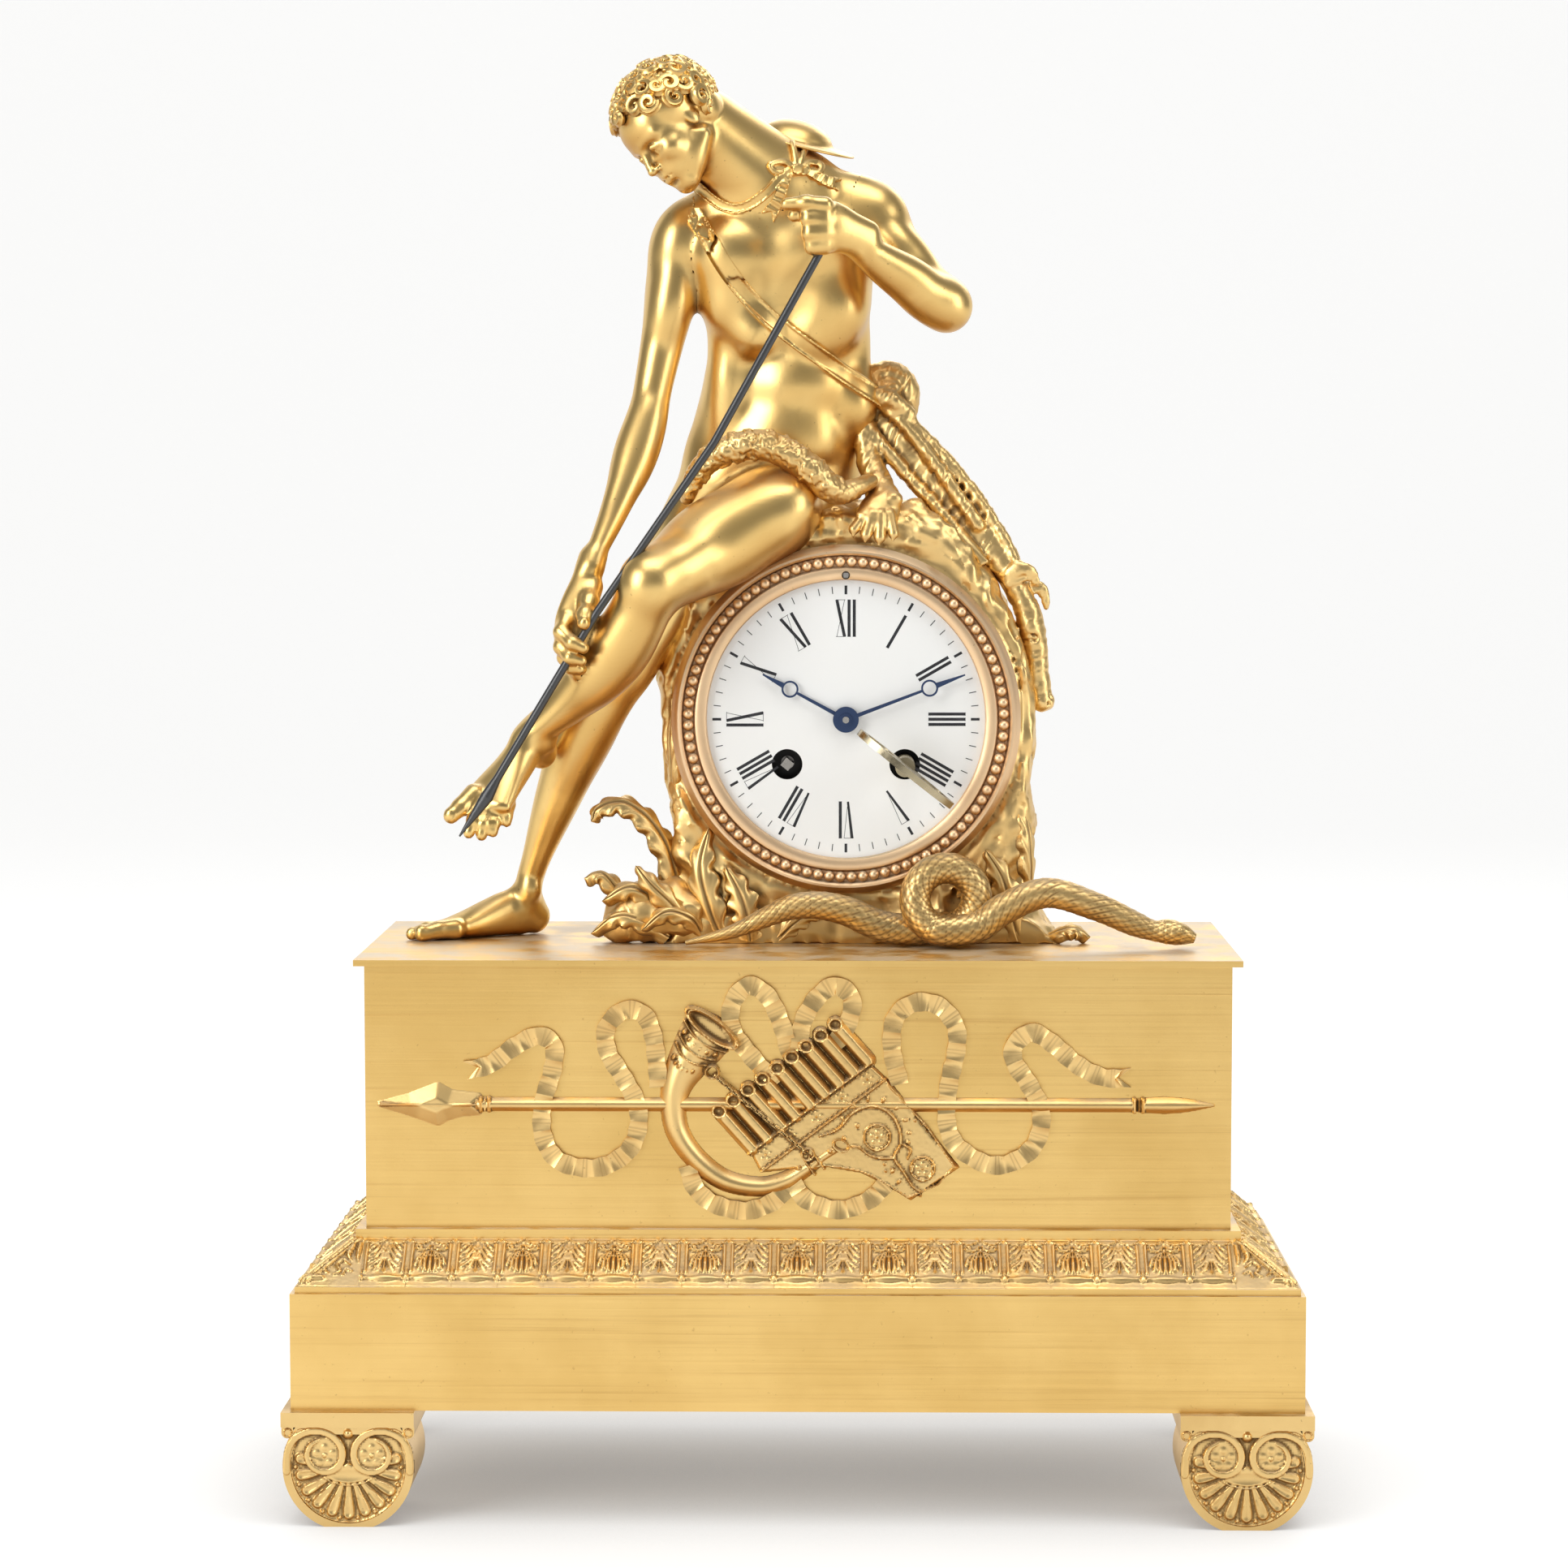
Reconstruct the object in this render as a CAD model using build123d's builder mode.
"""Gilt-bronze mantel clock: a hunter leans on the rock that holds a round spring-driven movement.

Millimetres. +Z is up, the dial faces -Y, and the origin is the centre of the footprint on the ground.
"""
from build123d import *
from math import atan2, cos, degrees, pi, radians, sin, sqrt
import os

os.makedirs("parts", exist_ok=True)


def finish(piece, name):
    """Label one finished piece and write it."""
    piece.part.label = name
    export_step(piece.part, f"parts/{name}.step")


# Shared fits
overrun = 2.0
running_fit = 0.05
loose_fit = 0.3

# Base sizes
plinth_width = 356.0
plinth_depth = 150.0
plinth_height = 41.3
plinth_wall = 4.0
plinth_rim = 46.0
foot_height = 41.0
frieze_height = 19.3
frieze_inset = 1.6
frieze_lower_fillet = 2.2
frieze_upper_fillet = 3.4
frieze_ledge = 3.4
frieze_wall = 7.0
box_inset = 24.2
box_height = 94.0
box_wall = 3.5
plate_overhang = 3.5
plate_thickness = 2.2
front_cap_overhang = 4.0
side_cap_overhang = 3.0

plinth_base = foot_height
frieze_base = plinth_base + plinth_height
box_base = frieze_base + frieze_height
plate_base = box_base + box_height
plate_top = plate_base + plate_thickness
plinth_front = -plinth_depth / 2
plinth_back = plinth_depth / 2
box_width = plinth_width - 2 * box_inset
box_front = plinth_front + box_inset
plate_front = box_front - plate_overhang
plate_back = plinth_back - frieze_inset
box_back = plate_back - plate_overhang
box_depth = box_back - box_front
box_middle = (box_front + box_back) / 2
plate_width = box_width + 2 * plate_overhang
plate_depth = plate_back - plate_front
plate_middle = (plate_front + plate_back) / 2


# Front feet: a scroll-fronted drum under a square cap
front_cap_width = 46.8
front_cap_depth = 43.0
front_cap_thickness = 5.2
foot_drum_radius = 23.1
foot_drum_flat = 17.0
foot_drum_setback = 1.6
foot_drum_depth = 36.0
foot_rim_width = 2.8
foot_recess = 1.2
foot_scroll_radius = 2.1
foot_scroll_drop = 2.2
foot_drum_rise = sqrt(foot_drum_radius**2 - (foot_drum_flat / 2) ** 2)
foot_stud_radius = 3.0
foot_stud_length = 11.0
front_foot_x = plinth_width / 2 + side_cap_overhang - front_cap_width / 2
front_cap_y = plinth_front - front_cap_overhang + front_cap_depth / 2
front_drum_y = plinth_front - front_cap_overhang + foot_drum_setback

for side_name, side in (("left", -1), ("right", 1)):
    with BuildPart() as front_foot:
        with BuildSketch(Plane.XZ.offset(-front_drum_y)):
            with Locations((side * front_foot_x, foot_drum_rise)):
                Circle(foot_drum_radius)
            with Locations((side * front_foot_x, -overrun)):
                Rectangle(
                    3 * foot_drum_radius, overrun, align=(Align.CENTER, Align.MIN), mode=Mode.SUBTRACT
                )
            with Locations((side * front_foot_x, foot_height - front_cap_thickness)):
                Rectangle(
                    3 * foot_drum_radius,
                    2 * foot_drum_radius,
                    align=(Align.CENTER, Align.MIN),
                    mode=Mode.SUBTRACT,
                )
        extrude(amount=-foot_drum_depth)
        with BuildSketch(Plane.XZ.offset(-front_drum_y)):
            with Locations((side * front_foot_x, foot_drum_rise)):
                Circle(foot_drum_radius - foot_rim_width)
            with Locations((side * front_foot_x, foot_height - front_cap_thickness - foot_rim_width)):
                Rectangle(
                    3 * foot_drum_radius,
                    2 * foot_drum_radius,
                    align=(Align.CENTER, Align.MIN),
                    mode=Mode.SUBTRACT,
                )
        extrude(amount=-foot_recess, mode=Mode.SUBTRACT)
        scroll_x = front_cap_width / 2 - foot_scroll_radius
        scroll_z = foot_height - front_cap_thickness - foot_scroll_drop
        with BuildSketch(Plane.XZ.offset(-front_drum_y)):
            with Locations(
                (side * front_foot_x - scroll_x, scroll_z), (side * front_foot_x + scroll_x, scroll_z)
            ):
                Circle(foot_scroll_radius)
            with Locations(
                (side * front_foot_x - scroll_x, scroll_z + foot_scroll_drop / 2),
                (side * front_foot_x + scroll_x, scroll_z + foot_scroll_drop / 2),
            ):
                Rectangle(2 * foot_scroll_radius, foot_scroll_drop)
        extrude(amount=-foot_drum_depth)
        with Locations((side * front_foot_x, front_cap_y, foot_height)):
            Box(
                front_cap_width,
                front_cap_depth,
                front_cap_thickness,
                align=(Align.CENTER, Align.CENTER, Align.MAX),
            )
            Cylinder(foot_stud_radius, foot_stud_length, align=(Align.CENTER, Align.CENTER, Align.MIN))
    finish(front_foot, f"foot_front_{side_name}")

# Rear feet: smaller plain tapered blocks under their own caps
rear_cap_width = 31.0
rear_cap_depth = 34.0
rear_block_width = 26.0
rear_block_toe_width = 20.0
rear_block_height = foot_height - front_cap_thickness
rear_foot_x = plinth_width / 2 + side_cap_overhang - rear_cap_width / 2
rear_cap_y = plinth_back + front_cap_overhang - rear_cap_depth / 2

for side_name, side in (("left", -1), ("right", 1)):
    with BuildPart() as rear_foot:
        with BuildSketch(Plane.XY):
            with Locations((side * rear_foot_x, rear_cap_y)):
                Rectangle(rear_block_toe_width, rear_block_toe_width)
        with BuildSketch(Plane.XY.offset(rear_block_height)):
            with Locations((side * rear_foot_x, rear_cap_y)):
                Rectangle(rear_block_width, rear_block_width)
        loft(ruled=True)
        with Locations((side * rear_foot_x, rear_cap_y, foot_height)):
            Box(
                rear_cap_width,
                rear_cap_depth,
                front_cap_thickness,
                align=(Align.CENTER, Align.CENTER, Align.MAX),
            )
            Cylinder(foot_stud_radius, foot_stud_length, align=(Align.CENTER, Align.CENTER, Align.MIN))
    finish(rear_foot, f"foot_rear_{side_name}")

foot_places = [
    (-front_foot_x, front_cap_y),
    (front_foot_x, front_cap_y),
    (-rear_foot_x, rear_cap_y),
    (rear_foot_x, rear_cap_y),
]

# Foot nuts: one hexagonal nut on each foot's stud, inside the plinth
foot_nut_across = 11.0
foot_nut_height = 4.5

with BuildPart() as foot_nuts:
    with BuildSketch(Plane.XY.offset(plinth_base + plinth_wall)):
        with Locations(*foot_places):
            RegularPolygon(foot_nut_across / 2, 6, major_radius=False)
            Circle(foot_stud_radius + running_fit, mode=Mode.SUBTRACT)
    extrude(amount=foot_nut_height)
finish(foot_nuts, "foot_nuts")

# Tie rods stand under the top plate and clamp box, frieze and plinth to it with square nuts
tie_rod_radius = 2.5
tie_rod_inset = 13.0
tie_nut_across = 10.0
tie_nut_height = 4.0
tie_rod_tail = 7.0
plinth_roof_under = frieze_base - plinth_wall
tie_places = [
    (box_width / 2 - tie_rod_inset, box_front + tie_rod_inset),
    (-box_width / 2 + tie_rod_inset, box_front + tie_rod_inset),
    (box_width / 2 - tie_rod_inset, box_back - tie_rod_inset),
    (-box_width / 2 + tie_rod_inset, box_back - tie_rod_inset),
]

with BuildPart() as plinth:
    with Locations((0, 0, plinth_base)):
        Box(plinth_width, plinth_depth, plinth_height, align=(Align.CENTER, Align.CENTER, Align.MIN))
    with BuildSketch(Plane.XY.offset(plinth_base + plinth_wall)):
        Rectangle(plinth_width - 2 * plinth_wall, plinth_depth - 2 * plinth_wall)
    extrude(amount=plinth_height - 2 * plinth_wall, mode=Mode.SUBTRACT)
    with BuildSketch(Plane.XY.offset(plinth_base - overrun)):
        Rectangle(plinth_width - 2 * plinth_rim, plinth_depth - 2 * plinth_rim)
    extrude(amount=plinth_wall + 2 * overrun, mode=Mode.SUBTRACT)
    with BuildSketch(Plane.XY.offset(plinth_base - overrun)):
        with Locations(*foot_places):
            Circle(foot_stud_radius + running_fit)
    extrude(amount=plinth_wall + 2 * overrun, mode=Mode.SUBTRACT)
    with BuildSketch(Plane.XY.offset(plinth_roof_under - overrun)):
        with Locations(*tie_places):
            Circle(tie_rod_radius + running_fit)
    extrude(amount=plinth_wall + 2 * overrun, mode=Mode.SUBTRACT)
finish(plinth, "plinth")

# Frieze: a sloping ornament band between two fillets on the front and sides, flush at the back
band_base = frieze_base + frieze_lower_fillet
band_top = box_base - frieze_upper_fillet
ledge_width = box_width + 2 * frieze_ledge
ledge_front = box_front - frieze_ledge
frieze_back = plinth_back - frieze_inset
foot_fillet_width = plinth_width - 2 * frieze_inset
foot_fillet_front = plinth_front + frieze_inset

with BuildPart() as frieze:
    with BuildSketch(Plane.XY.offset(frieze_base)):
        with Locations((0, (foot_fillet_front + frieze_back) / 2)):
            Rectangle(foot_fillet_width, frieze_back - foot_fillet_front)
    extrude(amount=frieze_lower_fillet)
    with BuildSketch(Plane.XY.offset(band_base)):
        with Locations((0, (foot_fillet_front + frieze_back) / 2)):
            Rectangle(foot_fillet_width, frieze_back - foot_fillet_front)
    with BuildSketch(Plane.XY.offset(band_top)):
        with Locations((0, (ledge_front + frieze_back) / 2)):
            Rectangle(ledge_width, frieze_back - ledge_front)
    loft(ruled=True)
    with BuildSketch(Plane.XY.offset(band_top)):
        with Locations((0, (ledge_front + frieze_back) / 2)):
            Rectangle(ledge_width, frieze_back - ledge_front)
    extrude(amount=frieze_upper_fillet)
    with BuildSketch(Plane.XY.offset(frieze_base - overrun)):
        with Locations((0, box_middle)):
            Rectangle(box_width - 2 * frieze_wall, box_depth - 2 * frieze_wall)
    extrude(amount=frieze_height + 2 * overrun, mode=Mode.SUBTRACT)
    with BuildSketch(Plane.XY.offset(frieze_base - overrun)):
        with Locations(*tie_places):
            Circle(tie_rod_radius + loose_fit)
    extrude(amount=frieze_height + 2 * overrun, mode=Mode.SUBTRACT)
finish(frieze, "frieze")

with BuildPart() as pedestal_box:
    with BuildSketch(Plane.XY.offset(box_base)):
        with Locations((0, box_middle)):
            Rectangle(box_width, box_depth)
            Rectangle(box_width - 2 * box_wall, box_depth - 2 * box_wall, mode=Mode.SUBTRACT)
    extrude(amount=box_height)
finish(pedestal_box, "pedestal_box")

with BuildPart() as top_plate:
    with BuildSketch(Plane.XY.offset(plate_base)):
        with Locations((0, plate_middle)):
            Rectangle(plate_width, plate_depth)
    extrude(amount=plate_thickness)
finish(top_plate, "top_plate")

with BuildPart() as tie_rods:
    with BuildSketch(Plane.XY.offset(plinth_roof_under - tie_rod_tail)):
        with Locations(*tie_places):
            Circle(tie_rod_radius)
    extrude(amount=plate_base - plinth_roof_under + tie_rod_tail)
finish(tie_rods, "tie_rods")

with BuildPart() as tie_rod_nuts:
    with BuildSketch(Plane.XY.offset(plinth_roof_under - tie_nut_height)):
        with Locations(*tie_places):
            Rectangle(tie_nut_across, tie_nut_across)
            Circle(tie_rod_radius + running_fit, mode=Mode.SUBTRACT)
    extrude(amount=tie_nut_height)
finish(tie_rod_nuts, "tie_rod_nuts")

# Trophy on the box front: a hunting spear, a horn, pan pipes and a long ribbon.
# Its places are per cent of the box height, from the middle of the box's lower edge.
trophy_relief = 2.2
trophy_band_relief = 2.9
ribbon_relief = 1.3
ribbon_width = 6.6
spear_shaft_radius = 2.6
spear_collar_radius = 3.6
spear_collar_length = 3.2
spear_barb_width = 14.6
pipe_radius = 3.1
pipe_count = 9
trophy_percent = box_height / 100
trophy_plane = Plane.XZ.offset(-box_front)
spear_rise_share = 47.2
spear_left_share = -120.3
spear_neck_share = -117.0
spear_tip_share = -159.0
spear_collar_share = 126.0
spear_right_share = 157.2
spear_blade_shares = [(-159.0, 0), (-147.0, 0.34), (-136.0, 0.98), (-133.5, 0.6), (-120.3, 0.44)]
horn_shares = [
    (16.0, 31.8, 3.4, 2.6),
    (9.6, 27.5, 2.8, 2.5),
    (2.1, 22.2, 3.4, 2.8),
    (-5.3, 18.0, 3.8, 3.0),
    (-14.9, 15.9, 4.0, 3.1),
    (-27.7, 18.5, 4.3, 3.2),
    (-38.3, 26.5, 4.4, 3.3),
    (-45.2, 36.6, 4.6, 3.4),
    (-46.3, 47.2, 4.9, 3.4),
    (-44.1, 55.7, 5.5, 3.5),
    (-38.3, 65.9, 7.9, 3.8),
    (-33.0, 74.9, 10.2, 4.2),
]
pipe_first_share = (-29.6, 45.0)
pipe_last_share = (14.3, 78.1)
pipe_foot_share = (-18.3, 29.6)
panel_shares = [
    (-18.3, 29.6),
    (26.5, 64.3),
    (34.8, 56.5),
    (61.4, 23.5),
    (42.8, 10.7),
    (26.5, 20.3),
    (11.2, 23.4),
    (-13.9, 21.2),
]
band_shares = [(-18.3, 29.6), (26.5, 64.3), (34.8, 56.5), (-13.9, 21.2)]
ribbon_shares = [
    [(-125.0, 60.5), (-116.0, 62.8), (-106.7, 69.6), (-97.9, 73.0), (-91.4, 69.6), (-94.2, 54.0)],
    [(-94.2, 54.0), (-96.5, 36.0), (-91.6, 26.9), (-81.5, 23.5), (-71.4, 24.8), (-62.4, 31.3)],
    [(-62.4, 31.3), (-59.7, 41.0), (-65.7, 58.5), (-72.4, 67.4), (-72.3, 76.4), (-65.6, 83.2)],
    [(-65.6, 83.2), (-58.0, 81.9), (-54.0, 74.3), (-52.8, 55.0)],
    [(38.4, 53.2), (35.3, 69.2), (36.6, 80.5), (44.5, 86.4), (53.6, 85.2), (60.3, 77.2), (57.0, 55.6)],
    [(57.0, 55.6), (55.9, 41.7), (59.3, 32.8), (69.4, 25.8), (78.5, 24.8), (87.7, 29.5)],
    [(87.7, 29.5), (91.9, 37.2), (91.9, 46.5), (87.6, 55.7), (81.2, 63.7), (81.2, 70.4), (88.4, 75.1)],
    [(88.4, 75.1), (96.4, 70.5), (105.6, 62.6), (115.6, 57.9), (125.7, 58.0)],
    [(-27.0, 66.0), (-27.5, 84.0), (-18.4, 94.0), (-8.0, 86.0), (-3.5, 66.0)],
    [(-1.0, 78.0), (5.0, 89.0), (14.3, 94.0), (22.5, 85.9), (16.0, 74.0)],
    [(-41.3, 21.4), (-33.6, 10.0), (-20.1, 6.6), (-7.9, 10.0), (-2.3, 14.7)],
    [(-1.1, 15.0), (5.0, 9.8), (15.7, 7.3), (26.5, 10.4), (32.7, 15.7)],
]


def trophy_point(along, up):
    """A place on the box front, from its shares of the box height."""
    return (trophy_percent * along, box_base + trophy_percent * up)


def tapered_run(places, half_widths, half_depths):
    """A smooth tapering bar through oval sections square to its path; the width lies across Y."""
    stations = [Vector(*place) for place in places]
    with BuildPart() as run:
        for number, station in enumerate(stations):
            before = stations[max(number - 1, 0)]
            after = stations[min(number + 1, len(stations) - 1)]
            along = (after - before).normalized()
            across = Vector(0, 1, 0).cross(along).normalized()
            with BuildSketch(Plane(origin=station, x_dir=across, z_dir=along)):
                Ellipse(half_widths[number], half_depths[number])
        loft(ruled=True)
    return run.part


def tapered_solid(shares, unit, base, sideways=0.0):
    """A tapering bar from a table of x, y, z, half width and half depth shares."""
    places = [(sideways + unit * x, unit * y, base + unit * z) for x, y, z, wide, deep in shares]
    half_widths = [unit * wide for x, y, z, wide, deep in shares]
    half_depths = [unit * deep for x, y, z, wide, deep in shares]
    return tapered_run(places, half_widths, half_depths)


spear_z = box_base + trophy_percent * spear_rise_share
spear_left = trophy_percent * spear_left_share
spear_right = trophy_percent * spear_right_share

with BuildPart() as trophy_spear:
    with BuildSketch(Plane.YZ.offset(spear_left)):
        with Locations((box_front, spear_z)):
            Circle(spear_shaft_radius)
    extrude(amount=spear_right - spear_left)
    for collar_share in (spear_left_share, spear_collar_share):
        with BuildSketch(Plane.YZ.offset(trophy_percent * collar_share)):
            with Locations((box_front, spear_z)):
                Circle(spear_collar_radius)
        extrude(amount=spear_collar_length)
    with BuildSketch(trophy_plane):
        with BuildLine():
            upper = [
                (trophy_percent * along, spear_z + spear_barb_width / 2 * out)
                for along, out in spear_blade_shares
            ]
            lower = [
                (trophy_percent * along, spear_z - spear_barb_width / 2 * out)
                for along, out in reversed(spear_blade_shares[1:])
            ]
            Polyline(*upper, *lower, close=True)
        make_face()
    extrude(amount=trophy_relief)
    with Locations((0, box_front, spear_z)):
        Box(
            2 * box_width,
            spear_barb_width,
            spear_barb_width,
            align=(Align.CENTER, Align.MIN, Align.CENTER),
            mode=Mode.SUBTRACT,
        )
finish(trophy_spear, "trophy_spear")

horn_places = [
    (trophy_percent * x, box_front, box_base + trophy_percent * z) for x, z, wide, deep in horn_shares
]
horn_body = tapered_run(
    horn_places,
    [trophy_percent * wide for x, z, wide, deep in horn_shares],
    [trophy_percent * deep for x, z, wide, deep in horn_shares],
)
horn_mouth = Vector(*horn_places[-1])
horn_mouth_along = (horn_mouth - Vector(*horn_places[-2])).normalized()
horn_wall = 1.4
horn_mouth_depth = 3.5

with BuildPart() as trophy_horn:
    add(horn_body)
    mouth_plane = Plane(
        origin=horn_mouth, x_dir=Vector(0, 1, 0).cross(horn_mouth_along), z_dir=horn_mouth_along
    )
    with BuildSketch(mouth_plane):
        Ellipse(
            trophy_percent * horn_shares[-1][2] - horn_wall, trophy_percent * horn_shares[-1][3] - horn_wall
        )
    extrude(amount=-horn_mouth_depth, mode=Mode.SUBTRACT)
    with Locations((0, box_front, box_base)):
        Box(
            2 * box_width,
            box_height,
            2 * box_height,
            align=(Align.CENTER, Align.MIN, Align.CENTER),
            mode=Mode.SUBTRACT,
        )
    add(trophy_spear.part, mode=Mode.SUBTRACT)
finish(trophy_horn, "trophy_horn")

pipe_way = Vector(
    pipe_foot_share[0] - pipe_first_share[0], 0, pipe_foot_share[1] - pipe_first_share[1]
)
pipe_length = trophy_percent * pipe_way.length

with BuildPart() as trophy_pipes:
    for number in range(pipe_count):
        step = number / (pipe_count - 1)
        top_x = trophy_percent * (pipe_first_share[0] + step * (pipe_last_share[0] - pipe_first_share[0]))
        top_z = trophy_percent * (pipe_first_share[1] + step * (pipe_last_share[1] - pipe_first_share[1]))
        top_place = Vector(top_x, box_front, box_base + top_z)
        with BuildSketch(Plane(origin=top_place, x_dir=(0, 1, 0), z_dir=pipe_way.normalized())):
            Circle(pipe_radius)
        extrude(amount=pipe_length)
    with BuildSketch(trophy_plane):
        with BuildLine():
            Polyline(*[trophy_point(x, z) for x, z in panel_shares], close=True)
        make_face()
    extrude(amount=trophy_relief)
    with BuildSketch(trophy_plane):
        with BuildLine():
            Polyline(*[trophy_point(x, z) for x, z in band_shares], close=True)
        make_face()
    extrude(amount=trophy_band_relief)
    with Locations((0, box_front, box_base)):
        Box(
            2 * box_width,
            box_height,
            2 * box_height,
            align=(Align.CENTER, Align.MIN, Align.CENTER),
            mode=Mode.SUBTRACT,
        )
    add(trophy_spear.part, mode=Mode.SUBTRACT)
    add(trophy_horn.part, mode=Mode.SUBTRACT)
finish(trophy_pipes, "trophy_pipes")

with BuildPart() as trophy_ribbon:
    with BuildSketch(trophy_plane):
        for bend_shares in ribbon_shares:
            with BuildLine():
                Spline(*[trophy_point(x, z) for x, z in bend_shares])
            trace(line_width=ribbon_width)
    extrude(amount=ribbon_relief)
    add(trophy_spear.part, mode=Mode.SUBTRACT)
    add(trophy_horn.part, mode=Mode.SUBTRACT)
    add(trophy_pipes.part, mode=Mode.SUBTRACT)
finish(trophy_ribbon, "trophy_ribbon")

# Dial and movement centre
dial_x = 17.0
dial_rise = 82.4
dial_z = plate_top + dial_rise
dial_axis = Axis((dial_x, 0, dial_z), (0, 1, 0))
dial_section = Plane(origin=(dial_x, 0, dial_z), x_dir=(1, 0, 0), z_dir=(0, 0, 1))


def across(y, place=(0, 0), turn=0):
    """The plane square to the dial axis at y and at a place on the dial; a positive extrude comes forward."""
    angle = radians(turn)
    return Plane(
        origin=(dial_x + place[0], y, dial_z + place[1]),
        x_dir=(cos(angle), 0, sin(angle)),
        z_dir=(0, -1, 0),
    )


# Rock: a cast case round the movement, on a spreading foot; outline in per cent of its height,
# and across in shares of the foot's width
rock_height = 160.0
rock_width = 148.0
rock_front = 2.0
rock_back = 64.0
rock_edge = 2.4
bore_radius = 56.6
seat_radius = 64.3
rock_foot_front = -1.0
rock_foot_back = 66.0
chamber_width = 56.0
chamber_depth = 24.0
chamber_floor = 4.0
rock_outline_shares = [
    (-30.0, 0),
    (-26.0, 10.6),
    (-28.0, 17.0),
    (-28.6, 30.0),
    (-30.2, 47.0),
    (-31.4, 58.5),
    (-30.4, 69.0),
    (-26.0, 79.0),
    (-17.6, 89.0),
    (-6.0, 96.0),
    (8.0, 99.5),
    (27.0, 100.0),
    (36.4, 91.9),
    (44.0, 82.0),
    (48.8, 71.0),
    (52.0, 59.9),
    (52.8, 46.0),
    (51.0, 37.0),
    (53.0, 26.3),
    (50.6, 16.5),
    (52.5, 9.0),
    (58.0, 0),
]
rock_foot_shares = [
    (-32.0, 0),
    (-30.0, 5.0),
    (-22.0, 8.0),
    (-14.0, 5.5),
    (-4.0, 8.5),
    (8.0, 6.0),
    (22.0, 8.0),
    (36.0, 6.5),
    (50.0, 9.5),
    (57.0, 4.0),
    (60.5, 0),
]
rock_percent = rock_height / 100
rock_span_share = rock_foot_shares[-1][0] - rock_foot_shares[0][0]
rock_across = rock_width / rock_span_share

with BuildPart() as rock_case:
    with BuildSketch(Plane.XZ.offset(-rock_front)):
        with BuildLine():
            Polyline(
                *[(rock_across * x, plate_top + rock_percent * z) for x, z in rock_outline_shares],
                close=True,
            )
        make_face()
    extrude(amount=rock_front - rock_back)
    chamfer(rock_case.faces().sort_by(Axis.Y)[-1].edges().filter_by(Axis.Z, reverse=True), rock_edge)
    with BuildSketch(Plane.XZ.offset(-rock_foot_front)):
        with BuildLine():
            Polyline(
                *[(rock_across * x, plate_top + rock_percent * z) for x, z in rock_foot_shares],
                close=True,
            )
        make_face()
    extrude(amount=rock_foot_front - rock_foot_back)
    with BuildSketch(across(rock_front)):
        Circle(seat_radius)
    extrude(amount=rock_front - rock_back)
    with BuildSketch(across(rock_front - overrun)):
        Circle(bore_radius)
    extrude(amount=rock_front - rock_back - 3 * overrun, mode=Mode.SUBTRACT)
    with Locations((dial_x, rock_foot_back + overrun, plate_top + chamber_floor)):
        Box(
            chamber_width,
            chamber_depth + overrun,
            dial_rise - chamber_floor,
            align=(Align.CENTER, Align.MAX, Align.MIN),
            mode=Mode.SUBTRACT,
        )
finish(rock_case, "rock_case")

# Bezel: the gilt ring that carries the dial and clamps to the rock's front
bezel_radius = 63.8
bezel_rim_front = -1.6
bezel_crest_radius = 60.6
bezel_crest_front = -5.6
bead_ring_radius = 57.6
bead_radius = 1.9
bezel_channel_front = -4.0
bezel_flat_radius = 55.0
bezel_flat_front = -4.8
sight_radius = 50.8
dial_radius = 51.3
dial_front = -1.0
dial_thickness = 1.6
dial_crown = 0.9
spigot_radius = bore_radius - loose_fit
spigot_inner_radius = 54.2
spigot_depth = 8.0
regulator_rise = 52.6
regulator_hole_radius = 1.5
front_plate_front = rock_front + spigot_depth

with BuildPart() as bezel:
    with BuildSketch(dial_section):
        with BuildLine():
            Polyline(
                (sight_radius, dial_front),
                (sight_radius, bezel_flat_front + dial_crown),
                (sight_radius + dial_crown, bezel_flat_front),
                (bezel_flat_radius, bezel_flat_front),
                (bead_ring_radius - bead_radius, bezel_channel_front),
            )
            RadiusArc(
                (bead_ring_radius - bead_radius, bezel_channel_front),
                (bead_ring_radius + bead_radius, bezel_channel_front),
                bead_radius,
            )
            Polyline(
                (bead_ring_radius + bead_radius, bezel_channel_front),
                (bezel_crest_radius, bezel_crest_front),
                (bezel_radius, bezel_rim_front),
                (bezel_radius, rock_front),
                (spigot_radius, rock_front),
                (spigot_radius, front_plate_front),
                (spigot_inner_radius, front_plate_front),
                (spigot_inner_radius, dial_front + dial_thickness),
                (dial_radius + running_fit, dial_front + dial_thickness),
                (dial_radius + running_fit, dial_front),
                (sight_radius, dial_front),
            )
        make_face()
    revolve(axis=dial_axis)
    with BuildSketch(across(dial_front + dial_thickness + overrun)):
        with Locations((0, regulator_rise)):
            Circle(regulator_hole_radius)
    extrude(amount=5 * overrun, mode=Mode.SUBTRACT)
finish(bezel, "bezel")

# Dial: a white enamel disc on three feet that stand on the front plate
winding_x = 21.5
winding_drop = 16.5
winding_hole_radius = 5.6
centre_hole_radius = 3.4
dial_foot_radius = 1.3
dial_foot_place_radius = 47.0
dial_foot_count = 3
dial_back = dial_front + dial_thickness
winding_places = {"going": (-winding_x, -winding_drop), "strike": (winding_x, -winding_drop)}

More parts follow.
